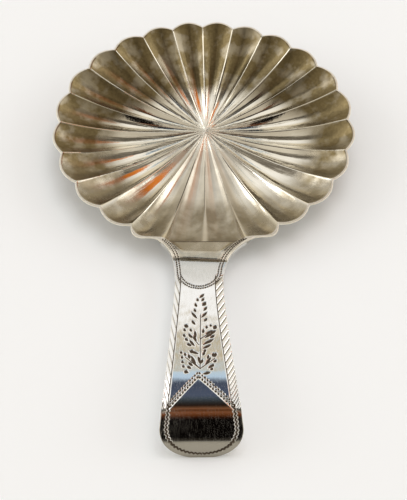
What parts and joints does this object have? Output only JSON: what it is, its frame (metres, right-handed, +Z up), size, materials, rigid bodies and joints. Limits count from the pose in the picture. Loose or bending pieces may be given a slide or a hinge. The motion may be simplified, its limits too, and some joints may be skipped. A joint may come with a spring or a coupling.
{
  "type": "caddy spoon",
  "caption": "Caddy spoon with a shallow round fluted bowl, a scalloped rim and a short flaring handle curled down at its tip.",
  "frame": {"origin": "middle of the bounding box on the surface that the spoon lies on", "axes": "+X to the right of the bowl, +Y from the handle towards the front of the bowl, +Z up from the surface"},
  "size_m": [0.0448, 0.072, 0.0071],
  "materials": {
    "bowl_silver": "die-stamped sterling silver, worn bright in the middle and toned brown towards the rim",
    "handle_silver": "polished sterling silver, bright-cut and feather-edged",
    "hard_solder": "silver solder, dull and slightly grey"
  },
  "bodies": {
    "root": {"bowl": "bowl_silver", "handle": "handle_silver", "solder_seam": "hard_solder"}
  },
  "joints": []
}
